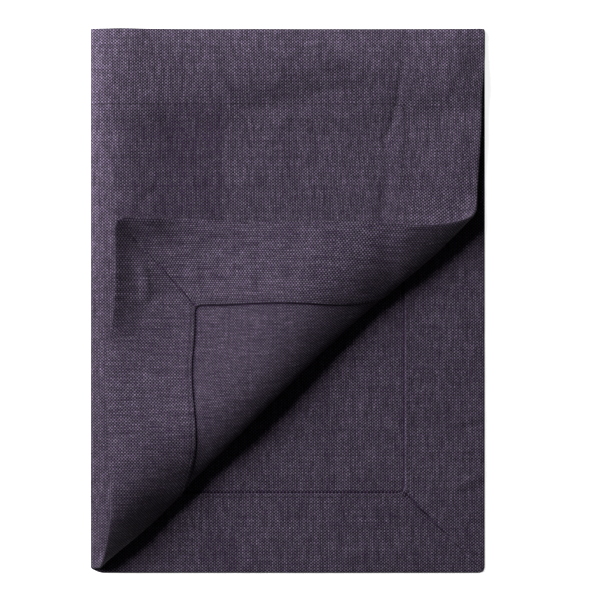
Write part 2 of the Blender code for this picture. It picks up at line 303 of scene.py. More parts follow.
corner_x, corner_y, _, _ = over_the_roll(np.array([HALF_X]), np.array([-HALF_Y]))
print("the turned corner lands at x, y:", round(corner_x[0], 3), round(corner_y[0], 3))

# %% [markdown]
# ## Hems and corners
#
# Where hem lies on hem the top layer stands higher, and the hems themselves are a little uneven beside
# the turned corner, where the cloth has been pulled about. These small warps are what makes a folded
# cloth look handled and not cut from card. Sculpting them by hand would do as well once. Here each is a
# soft step or swell on the flat cut or in the height, so any one of them can be changed by itself.

# %% Hem on hem
HEM_BELOW_ENDS = (HEM + 0.001, HEM + 0.012)
PUFF = 0.0036  # the far hem stands proud of that
PUFF_CREST = 0.022
PUFF_END = HEM + 0.001
PUFF_POWER = 1.5
PUFF_FADE = 0.020  # towards the right edge
EDGE_LIFT = 0.0048  # the top layer's right edge stands off the bottom layer
EDGE_LIFT_WIDE = 0.072
EDGE_LIFT_FROM = (0.010, 0.040)  # but not its far corner


def over_hems(x, y):
    """How much higher the top layer lies near the edges, where hem lies on hem."""
    from_far, from_right = HALF_Y - y, HALF_X - x
    inside = np.minimum(HALF_Y - np.abs(y), from_right)
    raised = (OVER_HEM - OVER_CLOTH) * (1 - step(inside, *HEM_BELOW_ENDS))
    rising = np.clip(from_far / PUFF_CREST, 0, 1)
    falling = np.clip((from_far - PUFF_CREST) / (PUFF_END - PUFF_CREST), 0, 1)
    puff = np.where(
        from_far < PUFF_CREST,
        np.sin(math.pi / 2 * rising),
        np.cos(math.pi / 2 * falling) ** PUFF_POWER,
    )
    lift = EDGE_LIFT * (1 - step(from_right, 0, EDGE_LIFT_WIDE)) * step(from_far, *EDGE_LIFT_FROM)
    return raised + lift + PUFF * puff * step(from_right, 0, PUFF_FADE)


edge_raised = over_hems(np.array([HALF_X]), np.array([0.0]))[0]
print("the top layer's right edge is raised by", round(1000 * edge_raised, 1), "mm")

# %% Uneven hems and round corners
CORNER_ROUND = 0.004  # the bottom layer's near corner
TURNED_CORNER_ROUND = 0.010  # the turned one is worn rounder
FAR_CORNER_ROUND = 0.0012
INNER_ROUND = 0.006  # the hem's inner corners
INNER_DRAWN = 0.25  # how far they are drawn in, as a share of that
SIDE_EDGE_SPREAD = 0.0018  # the hems aren't quite even beside the turned corner
SIDE_EDGE_FADE = 0.060  # this far past the middle they are even again
SIDE_LINE_SPREAD = 0.0045
SIDE_LINE_FADE = 0.120
NEAR_EDGE_SPREAD = 0.0035
NEAR_EDGE_AT = (0.100, 0.055)  # from the right side: the swell's middle, and half its width
NEAR_EDGE_TUCK = 0.0018
NEAR_TUCK_AT = (0.185, 0.040)
NEAR_FOLD_TUCK = 0.0034  # the left fold's near end is tucked in
FOLD_TUCK_U = (U_FOLD - 0.003, U_FOLD + 0.009)
FOLD_TUCK_SIDE = (0.180, 0.235)
NEAR_LINE_SPREAD = 0.0080
NEAR_LINE_AT = (0.150, 0.062)
NEAR_LINE_IN = 0.0012
NEAR_LINE_IN_TO = (0.150, 0.200)


def near(distance):
    """1 where the distance is nil, falling evenly to 0 a hem's width away."""
    return np.clip(1 - distance / HEM, 0, 1)


def rounded(from_side, from_end, radius):
    """How far a square corner's points are drawn in to make it round: from its edges' distances."""
    a, b = (np.clip(1 - d / radius, 0, 1) for d in (from_side, from_end))
    return radius * a * (1 - np.sqrt(1 - b * b / 2)), radius * b * (1 - np.sqrt(1 - a * a / 2))


def uneven(u, v):
    """The flat cut with its hems a little wider beside the turned corner, and its corners rounded."""
    side, end = U_END - u, HALF_Y + v
    wide = SIDE_EDGE_SPREAD * step(-v, -SIDE_EDGE_FADE, 0.0) * near(side)
    wide = wide - SIDE_LINE_SPREAD * step(-v, -SIDE_LINE_FADE, 0.0) * near(np.abs(side - HEM))
    edge = NEAR_EDGE_SPREAD * swell(side, *NEAR_EDGE_AT) - NEAR_EDGE_TUCK * swell(side, *NEAR_TUCK_AT)
    edge = edge - NEAR_FOLD_TUCK * step(u, *FOLD_TUCK_U) * step(side, *FOLD_TUCK_SIDE)
    line = NEAR_LINE_SPREAD * swell(side, *NEAR_LINE_AT)
    line = line + NEAR_LINE_IN * (1 - step(side, *NEAR_LINE_IN_TO))
    deep = edge * near(end) - line * near(np.abs(end - HEM))
    near_round = np.where(u < side, CORNER_ROUND, TURNED_CORNER_ROUND)
    radius = np.where(v > 0, FAR_CORNER_ROUND, near_round)
    from_side, from_end = np.minimum(u, side), HALF_Y - np.abs(v)
    in_side, in_end = rounded(from_side, from_end, radius)
    inner = np.clip(1 - np.hypot(from_side - HEM, from_end - HEM) / INNER_ROUND, 0, 1)
    in_side, in_end = (by + INNER_DRAWN * INNER_ROUND * inner**2 for by in (in_side, in_end))
    return u + wide + np.where(u < side, in_side, -in_side), v - deep - np.sign(v) * in_end


_, line_v = uneven(np.array([U_END - NEAR_LINE_AT[0]]), np.array([HEM - HALF_Y]))
print("the near hem is widened by up to", round(1000 * (line_v[0] + HALF_Y - HEM), 1), "mm")

# %% Where the cloth goes
TO_TOP = (0.004, 0.020)  # round the left fold, the top layer begins between these
CURL = 0.0072  # the turned corner's left edge curls up
CURL_WIDE = 0.017
CURL_LONG = (0.056, 0.082)
CORNER_CURL = 0.0060  # and so does the far edge beside the corner
CORNER_CURL_WIDE = 0.022
CORNER_CURL_LONG = (0.024, 0.046)
TO_FLAP = (0.04, 0.06)  # round the roll, the flap begins between these


def placed(u, v):
    """Where the cloth's right side goes, before its small wrinkles."""
    u, v = uneven(u, v)
    arc = np.clip(u - U_FOLD, 0, FOLD_ARC[-1])
    x = np.where(u > U_TOP, X_TOP + u - U_TOP, FOLD_X - np.interp(arc, FOLD_ARC, FOLD_OUT))
    x = np.where(u < U_FOLD, HALF_X - u, x)
    z = np.interp(arc, FOLD_ARC, FOLD_UP)
    on_top = step(arc, *TO_TOP)
    rolled_x, rolled_y, up, round_roll = over_the_roll(x, v)
    placed_x = x + on_top * (rolled_x - x)
    placed_y = v + on_top * (rolled_y - v)
    up = up + over_hems(placed_x, placed_y)
    up = up + np.where(round_roll > 0, fold_height(placed_x) - fold_height(x), 0)
    end, side = HALF_Y + v, U_END - u
    curl = CURL * np.clip(1 - end / CURL_WIDE, 0, 1) ** 2 * (1 - step(side, *CURL_LONG))
    corner = CORNER_CURL * np.clip(1 - side / CORNER_CURL_WIDE, 0, 1) ** 2
    corner = corner * (1 - step(end, *CORNER_CURL_LONG))
    up = up + (curl + corner) * step(round_roll, *TO_FLAP)
    return np.stack((placed_x, placed_y, z + on_top * up), -1)


turned_tip = placed(np.array([U_END]), np.array([-HALF_Y]))[0]
print("the turned corner's tip, metres:", turned_tip.round(4))

# %% [markdown]
# ## Creases
#
# Linen keeps the marks of how it was folded before: a press line, a few short sharp creases and some soft
# hollows. Each is a row of a table: a bent line on the flat cut, how wide it is and how high it stands. A
# negative height is a trough. The rest of the unevenness is smooth noise, about half a millimetre high,
# because no ironed cloth is ever quite flat. A bump map could draw all this too, but it casts no shadow
# and leaves nothing in the mesh.

# %% Creases, on the flat cut, millimetres
CREASE_COLUMNS = ("from_u", "from_v", "by_u", "by_v", "to_u", "to_v", "width", "height")
TOP_CREASES = (
    (352, 122, 392, 132, 446, 139, 7.5, -3.2),
    (372, 135, 405, 146, 440, 151, 3.5, -1.0),
    (460, 120, 485, 118, 508, 119, 9.0, -3.6),
    (455, 153, 455, 135, 449, 112, 2.0, -1.5),
    (449, 112, 446, 104, 441, 101, 2.0, -1.1),
    (353, 107, 402, 107, 460, 106, 3.0, -0.7),
    (450, 83, 449, 68, 447, 53, 4.0, -0.7),
    (452, 100, 466, 95, 482, 86, 6.0, -0.8),
    (280, 92, 292, 80, 300, 66, 5.0, -0.7),
    (300, 118, 312, 105, 322, 88, 5.0, -0.6),
    (303, 78, 294, 68, 283, 57, 2.6, -0.8),
    (477, -157, 466, -152, 455, -157, 2.4, -1.1),
    (458, -150, 452, -154, 444, -158, 2.6, 0.9),
)
UNDER_CREASES = (
    (481, -115, 470, -116, 458, -117, 2.0, -0.9),
    (484, -162, 475, -156, 464, -153, 3.2, 1.5),
    (454, -160, 460, -150, 467, -137, 2.6, -1.2),
    (500, -160, 492, -152, 482, -148, 5.0, -0.9),
    (160, -127, 160, -150, 160, -173, 3.0, -0.9),
    (21, -120, 12, -116, 2, -112, 2.4, 1.5),
    (24, -79, 14, -77, 2, -74, 2.4, 1.3),
    (20, -98, 15, -97, 9, -95, 2.4, 1.0),
    (20, -21, 10, -22, 1, -26, 5.0, -1.6),
    (106, -143, 86, -144, 64, -143, 3.5, 0.6),
    (97, -161, 70, -162, 45, -161, 3.5, 0.6),
)
print("creases:", len(TOP_CREASES), "seen on the right side,", len(UNDER_CREASES), "on the wrong side")

# %% How high a crease is
CREASE_POINTS = 24
CREASE_REACH = 3  # in widths: past this it is nil
CREASE_END = 0.08  # a crease starts and ends at this share of a half wave, and so at a quarter height


def crease_height(u, v, rows):
    """The height of all the creases in a table, at each point of the flat cut."""
    height = np.zeros_like(u)
    for values in rows:
        row = {name: value / 1000 for name, value in zip(CREASE_COLUMNS, values)}
        t = np.linspace(0, 1, CREASE_POINTS)[:, None]
        start, by, end = (np.array((row[w + "_u"], row[w + "_v"])) for w in ("from", "by", "to"))
        line = (1 - t) ** 2 * start + 2 * t * (1 - t) * by + t**2 * end
        reach = CREASE_REACH * row["width"]
        close = np.flatnonzero(
            (np.abs(u - (line[:, 0].min() + line[:, 0].max()) / 2) < np.ptp(line[:, 0]) / 2 + reach)
            & (np.abs(v - (line[:, 1].min() + line[:, 1].max()) / 2) < np.ptp(line[:, 1]) / 2 + reach)
        )
        apart = np.hypot(u[close, None] - line[:, 0], v[close, None] - line[:, 1])
        along = apart.argmin(1) / (CREASE_POINTS - 1)
        fade = np.sin(math.pi * (CREASE_END + (1 - 2 * CREASE_END) * along))
        height[close] += row["height"] * fade * np.exp(-((apart.min(1) / row["width"]) ** 2))
    return height


TROUGH_MIDDLE = (np.array([0.3955]), np.array([0.1312]))  # of the first row
trough = crease_height(*TROUGH_MIDDLE, TOP_CREASES)[0]
print("the long trough in the far hem is", round(-1000 * trough, 1), "mm deep")

# %% The old press line
PRESS_U = 0.340
PRESS_WIDE = 0.040  # to its left the cloth slopes down to it, and is a shade darker
PRESS_FROM = (0.020, 0.045)
PRESS_TO = (0.118, 0.140)
PRESS_HIGH = 0.0020


def beside_press(u, v):
    """1 on the left of the press line, where the cloth was once folded, and 0 elsewhere."""
    lengthwise = step(v, *PRESS_FROM) * (1 - step(v, *PRESS_TO))
    return (u < PRESS_U + AT_LINE) * step(u, PRESS_U - 2 * PRESS_WIDE, PRESS_U - PRESS_WIDE) * lengthwise


print("press line, millimetres long:", round(1000 * (PRESS_TO[1] - PRESS_FROM[0])))

# %% Smooth unevenness
WAVES = ((0.055, 0.00050), (0.024, 0.00028), (0.011, 0.00011))  # how far apart, and how high
WAVE_SHIFT = 17.3  # each size of wave is taken from another place in the noise


def waviness(x, y):
    """Smooth noise in a few sizes. It is a function of the place on the table, so all layers share it."""
    high = np.zeros_like(x)
    for i, (apart, height) in enumerate(WAVES):
        shift = WAVE_SHIFT * (i + 1)
        places = zip((x / apart + shift).tolist(), (y / apart - shift).tolist())
        high += height * np.array([noise.noise((a, b, shift)) for a, b in places])
    return high


across_mat = waviness(np.linspace(-HALF_X, HALF_X, 50), np.zeros(50))
print("unevenness along the middle, from low to high:", round(1000 * np.ptp(across_mat), 2), "mm")

# %% [markdown]
# ## The sheet as a mesh
#
# The sheet is a grid over the flat cut, with lines of points close together on both sides of the hem's
# step and equal cells in the corner squares, so that the mitres run from corner to corner of the cells.
# Both sides of the cloth get the same grid, and a half-round strip closes the folded edge between them. A
# plane with a Solidify modifier would be quicker, but it can't give the hem its three layers and its step.

# %% The grid's lines
EDGE_ROUND = HEM_CLOTH / 2  # the folded edge is half round
HEM_CELLS = 24
MITRE_WIDE = (HEM - BESIDE_LEDGE - EDGE_ROUND) / HEM_CELLS / math.sqrt(2)  # half a mitre's groove
BOTTOM_CELLS = 74
NOSE_CELLS = 14
TOP_CELLS = 104
MIDDLE_CELLS = 114


def lines(start, *stretches):
    """Grid lines from start through stretches of (to, cells)."""
    at = [start]
    for to, cells in stretches:
        at += list(np.linspace(at[-1], to, cells + 1)[1:])
    return np.array(at)


def hem_to_hem(whole, *middle):
    """Grid lines over a whole side of the cut: hem, step, the middle's own stretches, step, hem."""
    inner = HEM + LEDGE + BESIDE_LEDGE
    return lines(
        EDGE_ROUND,
        (HEM - BESIDE_LEDGE, HEM_CELLS),
        (HEM, 1),
        (HEM + LEDGE, 1),
        (inner, 1),
        *middle[:-1],
        (whole - inner, middle[-1]),
        (whole - HEM - LEDGE, 1),
        (whole - HEM, 1),
        (whole - HEM + BESIDE_LEDGE, 1),
        (whole - EDGE_ROUND, HEM_CELLS),
    )


U_LINES = hem_to_hem(U_END, (U_FOLD, BOTTOM_CELLS), (U_FOLD + FOLD_NOSE_RUN, NOSE_CELLS), TOP_CELLS)
V_LINES = hem_to_hem(2 * HALF_Y, MIDDLE_CELLS) - HALF_Y
print("grid:", len(U_LINES), "by", len(V_LINES), "lines")

# %% The right side
FACING_REACH = 2e-4  # how far to either side the slope is measured
BOTTOM_AIR = 0.0004  # the bottom layer touches the surface only here and there
BOTTOM_AIR_FADE = 0.02  # towards the left fold


def outward(u, v):
    """The direction in which the cloth's right side faces."""
    along_u = placed(u + FACING_REACH, v) - placed(u - FACING_REACH, v)
    along_v = placed(u, v + FACING_REACH) - placed(u, v - FACING_REACH)
    facing = np.cross(along_u, along_v)
    return facing / np.linalg.norm(facing, axis=-1, keepdims=True)


def right_side(u, v):
    """The cloth's right side with its creases, and the direction in which it faces."""
    right = placed(u, v)
    facing = outward(u, v)
    lift = crease_height(u, v, TOP_CREASES) - crease_height(u, v, UNDER_CREASES)
    lift = lift + waviness(right[:, 0], right[:, 1]) * facing[:, 2]
    lift = lift + PRESS_HIGH * beside_press(u, v) * np.clip((PRESS_U - u) / PRESS_WIDE, 0, 1)
    lift = lift - BOTTOM_AIR * step(U_FOLD - u, 0.0, BOTTOM_AIR_FADE)
    right = right + facing * lift[:, None]
    right[:, 2] = np.maximum(right[:, 2], 0)
    return right, facing


print("the bottom layer's right side faces:", outward(np.array([HALF_X]), np.array([0.0]))[0].round(2))

# %% The wrong side
HEM_SHOULDER = 0.0003  # the hem's inner fold is rounded by this much
SEAM_DEEP = 0.0004  # the mitred seams sink by this much
FOOT_TUCK = 0.0009  # the plain cloth runs in under the hem's fold by this much


def thickness(u, v):
    """Three layers in the hem, one elsewhere, and a sunk seam at each mitre."""
    from_side = np.minimum(u, U_END - u)
    from_end = HALF_Y - np.abs(v)
    from_edge = np.minimum(from_side, from_end)
    thick = HEM_CLOTH - HEM_SHOULDER * np.clip(1 - (HEM - from_edge) / BESIDE_LEDGE, 0, 1)
    thick = thick + (CLOTH - thick) * np.clip((from_edge - HEM) / LEDGE, 0, 1)
    seam = np.clip(1 - np.abs(from_side - from_end) / (MITRE_WIDE * math.sqrt(2)), 0, 1)
    return thick - SEAM_DEEP * seam * (from_edge < HEM + LEDGE / 2)


def at_line(u, v, inside):
    """Which points are on the line that is this far inside the cut's edge."""
    from_edge = np.minimum(np.minimum(u, U_END - u), HALF_Y - np.abs(v))
    return np.abs(from_edge - inside) < AT_LINE


def wrong_side(u, v):
    """The cloth's wrong side, with the foot of the hem's step tucked in under the hem."""
    foot = at_line(u, v, HEM + LEDGE)
    from_side, from_end = np.minimum(u, U_END - u), HALF_Y - np.abs(v)
    by_u = foot & (from_side < HEM + LEDGE + AT_LINE)
    by_v = foot & (from_end < HEM + LEDGE + AT_LINE)
    tucked_u = u - FOOT_TUCK * by_u * np.where(u < U_END / 2, 1, -1)
    tucked_v = v + FOOT_TUCK * by_v * np.sign(v)
    right, facing = right_side(tucked_u, tucked_v)
    return right - facing * thickness(u, v)[:, None]


hem_and_middle = thickness(np.array([HEM / 2, 2 * HEM]), np.zeros(2))
print("thickness of the hem and of the middle, millimetres:", (1000 * hem_and_middle).round(2))


# %% The sheet's faces
def grid_faces(across, along):
    """The faces of a grid, with the mitres' own cells cut in two along the mitre."""
    faces = []
    last_u, last_v = across - 2, along - 2
    for i in range(across - 1):
        for j in range(along - 1):
            a, b = i * along + j, (i + 1) * along + j
            quad = (a, b, b + 1, a + 1)
            in_corner = min(i, last_u - i) < HEM_CELLS and min(j, last_v - j) < HEM_CELLS
            if in_corner and (i == j or last_u - i == last_v - j):
                faces += [(quad[0], quad[1], quad[2]), (quad[0], quad[2], quad[3])]
            elif in_corner and (last_u - i == j or i == last_v - j):
                faces += [(quad[0], quad[1], quad[3]), (quad[1], quad[2], quad[3])]
            else:
                faces.append(quad)
    return faces


def rim_of(across, along):
    """The grid's outer points in order, anticlockwise in u and v."""
    near_side = [i * along for i in range(across)]
    right = [(across - 1) * along + j for j in range(1, along)]
    far = [i * along + along - 1 for i in range(across - 2, -1, -1)]
    left = list(range(along - 2, 0, -1))
    return near_side + right + far + left


print("points round the sheet's edge:", len(rim_of(len(U_LINES), len(V_LINES))))

# %% The folded edge
EDGE_ARC = 4  # steps round it
BEYOND = 1e-3  # the way out over the edge is measured this far past it


def past_edge(u, v):
    """Which way leads out over the edge from the rim's points, along u and along v: -1, 0 or 1."""
    to_side = np.where(u > U_END - EDGE_ROUND - AT_LINE, 1.0, 0.0)
    side = np.where(u < EDGE_ROUND + AT_LINE, -1.0, to_side)
    return side, np.where(np.abs(v) > HALF_Y - EDGE_ROUND - AT_LINE, np.sign(v), 0.0)


def edge_rows(u, v, rim, right, wrong, facing):
    """Points round the folded edge, from the right side to the wrong one."""
    side, end = past_edge(u[rim], v[rim])
    beyond = placed(u[rim] + side * BEYOND, v[rim] + end * BEYOND) - placed(u[rim], v[rim])
    beyond -= facing[rim] * (beyond * facing[rim]).sum(1, keepdims=True)
    beyond /= np.linalg.norm(beyond, axis=1, keepdims=True)
    middle, half = (right[rim] + wrong[rim]) / 2, (right[rim] - wrong[rim]) / 2
    radius = np.linalg.norm(half, axis=1, keepdims=True)
    turns = [math.pi * k / EDGE_ARC for k in range(1, EDGE_ARC)]
    return [middle + math.cos(t) * half + math.sin(t) * radius * beyond for t in turns]


print("the folded edge is", round(2000 * EDGE_ROUND, 2), "mm thick, in", EDGE_ARC, "steps")

# %% [markdown]
# ## The cloth's UV map
#
# The UV map is the flat cut itself, in metres, so the weave has its real size everywhere. On the wrong
# side the turned-in hems are another stretch of the same cloth, so their threads don't line up with the
# middle's: each of the four strips is slid to a part of the map of its own.
#
# Three more values on each point tell the material about the place: how far it is from the edge, for the
# dip along the stitching; whether it is in a seam or under a fold's edge, where painted shade darkens it,
# since little light reaches there; and how much paler or darker it is painted: painted light where the left
# fold, its crest and the far and right hems face the lamp, and a darker tone beside the press line, on a
# patch of the near hem and on the wrong side. Painting them by hand would tie them to this one mesh. Worked
# out from u and v, they hold for any grid.

# %% Painted light and shade, and what each place has been through
FOLD_LIGHT_WIDE = 0.020  # painted light: how far in from the left fold its lit side is painted paler
FOLD_LIGHT_MIDDLE = 0.6  # as a share of the nose: where the painted light is strongest
FOLD_LIGHT_NEAR_END = 0.10  # the fold has little painted light at its near end
FOLD_LIGHT_FROM = -0.10
CREST_PAINTED_LIGHT = 0.28  # painted light on the crest behind it, in the far corner, which faces the lamp
CREST_AT = (0.030, 0.060)
CREST_FROM = (0.105, 0.140)
FAR_PAINTED_LIGHT = 0.45  # painted light where the far hem's puff faces the lamp
FAR_WIDE = (0.004, 0.030)
FAR_FADE = 0.02
SIDE_PAINTED_LIGHT = 0.12  # painted light: the top layer's right hem tilts towards the lamp and is painted paler than the middle
SIDE_FROM = (U_END - HEM - 0.004, U_END - HEM + 0.012)
PRESS_DARK = 0.30
MITRE_FAINT = 0.30  # painted shade in the mitred seam is faint near the edge and full towards the hem's inner corner
MITRE_OPENS = (0.012, 0.036)
# painted shade at the foot of the hem's step, and this share of it on the line beside the foot
FOOT_NEAR = 0.80
WRONG_DARK = 0.09  # the wrong side is made darker than the right one, all over
PATCH_DARK = 0.20  # a patch on the bottom layer's near hem was pressed flat
PATCH_LEFT = (0.156, 0.160)
PATCH_RIGHT = (0.178, 0.184)
PATCH_FAR = (-0.156, -0.138)
PATCH_IN = 0.001  # it stops short of the folded edge


def pressed_patch(u, v):
    """1 on the flattened patch on the bottom layer's near hem, and 0 elsewhere."""
    across = step(u, *PATCH_LEFT) * (1 - step(u, *PATCH_RIGHT))
    return across * (1 - step(v, *PATCH_FAR)) * (v > PATCH_IN - HALF_Y)


def right_side_light_and_tone(u, v):
    """How much paler the right side is painted than plain cloth: painted light where the left fold, its
    crest and the far and right hems face the lamp. Less than 0 is darker, as beside the press line.
    """
    by_length = FOLD_LIGHT_NEAR_END + (1 - FOLD_LIGHT_NEAR_END) * step(v, FOLD_LIGHT_FROM, HALF_Y)
    # painted light on the left fold's nose and on its crest
    fold = swell(u - U_FOLD, FOLD_LIGHT_MIDDLE * FOLD_NOSE_RUN, FOLD_LIGHT_WIDE) * by_length
    fold = np.maximum(fold, CREST_PAINTED_LIGHT * swell(u - U_FOLD, *CREST_AT) * step(v, *CREST_FROM))
    far = FAR_PAINTED_LIGHT * (1 - step(HALF_Y - v, *FAR_WIDE)) * step(u, U_FOLD, U_FOLD + FAR_FADE)
    painted_light_and_tone = np.maximum(fold, far) - PRESS_DARK * beside_press(u, v)
    return painted_light_and_tone + SIDE_PAINTED_LIGHT * step(u, *SIDE_FROM)


def point_values(u, v, is_wrong):
    """The three values that the material reads, by name."""
    side, end = np.minimum(u, U_END - u), HALF_Y - np.abs(v)
    from_edge = np.minimum(side, end)
    mitre = (np.abs(side - end) < AT_LINE) & (from_edge < HEM)
    seam = mitre * (MITRE_FAINT + (1 - MITRE_FAINT) * step(from_edge, *MITRE_OPENS))
    beside_foot = at_line(u, v, HEM + LEDGE + BESIDE_LEDGE)
    foot = np.maximum(at_line(u, v, HEM + LEDGE), FOOT_NEAR * beside_foot)
    wrong_side_tone = -WRONG_DARK - PATCH_DARK * pressed_patch(u, v)
    return {
        "from_edge": from_edge,
        # painted shade in the mitred seams and at the foot of the hem's step, on the wrong side
        "crevice_shade": np.where(is_wrong, np.maximum(seam, foot), 0.0),
        "painted_light_and_tone": np.where(is_wrong, wrong_side_tone, right_side_light_and_tone(u, v)),
    }


on_nose = right_side_light_and_tone(U_FOLD + FOLD_LIGHT_MIDDLE * FOLD_NOSE_RUN, np.array([-HALF_Y, 0.0, HALF_Y]))
print("rubbed on the left fold, from near to far:", on_nose.round(2))

# %% The map
STRIP_SHIFT = 0.7919  # metres: each strip's threads are taken from another place
ALL_WRONG = 0.99  # the least share of a face's corners, short of rounding


def add_cloth_map(mesh, u, v, is_wrong):
    """The UV map "cloth", in metres, and the values on the points."""
    for name, values in point_values(u, v, is_wrong).items():
        layer = mesh.attributes.new(name, "FLOAT", "POINT")
        layer.data.foreach_set("value", values.astype(np.float32))
    corner = np.empty(len(mesh.loops), np.int32)
    mesh.loops.foreach_get("vertex_index", corner)
    total = np.empty(len(mesh.polygons), np.int32)
    mesh.polygons.foreach_get("loop_total", total)
    face = np.repeat(np.arange(len(total)), total)

    def middle(values):
        return np.bincount(face, values[corner]) / total

    mid_u, mid_v, wrong = middle(u), middle(v), middle(is_wrong.astype(float)) > ALL_WRONG
    mid_side, mid_end = np.minimum(mid_u, U_END - mid_u), HALF_Y - np.abs(mid_v)
    in_hem = wrong & (np.minimum(mid_side, mid_end) < HEM + LEDGE)
    strip = np.where(mid_side < mid_end, 1 + (mid_u > U_END / 2), 3 + (mid_v > 0))
    shift = STRIP_SHIFT * np.where(in_hem, strip, np.where(wrong, 5, 0))[face]
    places = np.stack((u[corner] + shift, v[corner] + shift), -1)
    layer = mesh.uv_layers.new(name="cloth")
    layer.uv.foreach_set("vector", places.astype(np.float32).ravel())
    return np.bincount(strip[in_hem])[1:]


# %% [markdown]
# ## The sheet
#
# Now the pieces above come together: both sides of the grid, the folded edge between them and the map.
# Faces on the wrong side are listed the other way round, so that every face points out of the cloth.


# %% The sheet
def linen_sheet(name):
    """The folded sheet: a closed mesh with the cloth's UV map, in metres."""
    u, v = (g.ravel() for g in np.meshgrid(U_LINES, V_LINES, indexing="ij"))
    right, facing = right_side(u, v)
    wrong = wrong_side(u, v)
    across, along = len(U_LINES), len(V_LINES)
    count = across * along
    rim = rim_of(across, along)
    rows = edge_rows(u, v, rim, right, wrong, facing)
    points = np.concatenate([right, wrong, *rows])
    faces = grid_faces(across, along)
    faces += [tuple(i + count for i in reversed(face)) for face in faces]
    rings = [rim] + [[2 * count + k * len(rim) + i for i in range(len(rim))] for k in range(len(rows))]
    rings.append([i + count for i in rim])
    for ring, following in zip(rings, rings[1:]):
        for i in range(len(rim)):
            n = (i + 1) % len(rim)
            faces.append((ring[n], ring[i], following[i], following[n]))
    mesh = bpy.data.meshes.new(name)
    mesh.from_pydata(points.tolist(), [], faces)
    mesh.shade_smooth()
    side, end = past_edge(u[rim], v[rim])
    past = [EDGE_ROUND * math.sin(math.pi * k / EDGE_ARC) for k in range(1, EDGE_ARC)]
    map_u = np.concatenate([u, u] + [u[rim] + side * far for far in past])
    map_v = np.concatenate([v, v] + [v[rim] + end * far for far in past])
    in_strips = add_cloth_map(mesh, map_u, map_v, np.arange(len(points)) >= count)
    print("faces on the wrong side of each hem:", in_strips)
    sheet = bpy.data.objects.new(name, mesh)
    bpy.context.scene.collection.objects.link(sheet)
    return sheet


sheet = linen_sheet("linen_sheet")
sheet.data.validate()
print("sheet:", len(sheet.data.vertices), "points,", len(sheet.data.polygons), "faces")

# %% [markdown]
# ## Plum linen
#
# Plain-woven linen is never one colour. Each thread is spun from fibres of slightly different shades and is
# thicker in places, which are called slubs. An image texture would repeat and blur, so the weave is worked
# out in the shader from the UV map: which thread a point is on, whether that thread passes over or under
# there, and how high it stands. The same height makes the bump and paints shade into the gaps between
# threads.


# %% Node helpers
def add_node(tree, kind, **settings):
    node = tree.nodes.new(kind)
    for name, value in settings.items():
        setattr(node, name, value)
    return node


def feed(tree, socket, value):
    """Joins a socket to another node's output, or sets it to a plain value."""
    if isinstance(value, bpy.types.NodeSocket):
        tree.links.new(value, socket)
    else:
        socket.default_value = value


def set_inputs(node, values):
    """Sets a node's inputs to plain values, by name."""
    for name, value in values.items():
        node.inputs[name].default_value = value


def calc(tree, operation, *values):
    """One step of arithmetic on numbers and outputs."""
    node = add_node(tree, "ShaderNodeMath", operation=operation)
    for socket, value in zip(node.inputs, values):
        feed(tree, socket, value)
    return node.outputs[0]


def vector(tree, x, y=0.0, z=0.0):
    node = add_node(tree, "ShaderNodeCombineXYZ")
    for socket, value in zip(node.inputs, (x, y, z)):
        feed(tree, socket, value)
    return node.outputs[0]


tree_helpers = (add_node, feed, set_inputs, calc, vector)
print("helpers for any node tree:", ", ".join(helper.__name__ for helper in tree_helpers))


# %% Shader helpers
def spread(tree, value, low, high, to_low, to_high):
    """Turns the stretch from low to high into to_low to to_high, and holds it there beyond them."""
    node = add_node(tree, "ShaderNodeMapRange", clamp=True)
    for socket, number in zip(node.inputs, (value, low, high, to_low, to_high)):
        feed(tree, socket, number)
    return node.outputs[0]


def pick(tree, which, first, second):
    """The first value where which is 0, the second where it is 1."""
    node = add_node(tree, "ShaderNodeMix", data_type="FLOAT")
    for socket, value in zip(node.inputs[:1] + node.inputs[2:4], (which, first, second)):
        feed(tree, socket, value)
    return node.outputs[0]


def point_value(tree, name):
    return add_node(tree, "ShaderNodeAttribute", attribute_name=name).outputs["Fac"]


def clouds(tree, place, scale, detail=2.0):
    """Smooth noise from 0 to 1."""
    node = add_node(tree, "ShaderNodeTexNoise", noise_dimensions="2D")
    feed(tree, node.inputs["Vector"], place)
    feed(tree, node.inputs["Scale"], scale)
    feed(tree, node.inputs["Detail"], detail)
    return node


shader_helpers = (spread, pick, point_value, clouds)
print("helpers for a shader:", ", ".join(helper.__name__ for helper in shader_helpers))

# %% One set of threads
WARP_PITCH = 0.00112  # the threads that run along the fold
WEFT_PITCH = 0.00093  # the threads that run across it
WARP, WEFT = 0, 1
THREAD_SEEDS = (0.37, 0.58)
FAR_APART = 1000.0  # no two threads share their slubs
SLUB_LONG = 0.0120  # how far a thicker place reaches along a thread
SLUB_WIDE = 0.25
SLUB_LIGHT = 0.7
THREAD_LIGHT = 0.22
HALF_THREAD = 0.46  # of the pitch: the rest is gap
OVER_UNDER = 0.5  # how far a thread rises and sinks as it passes over and under


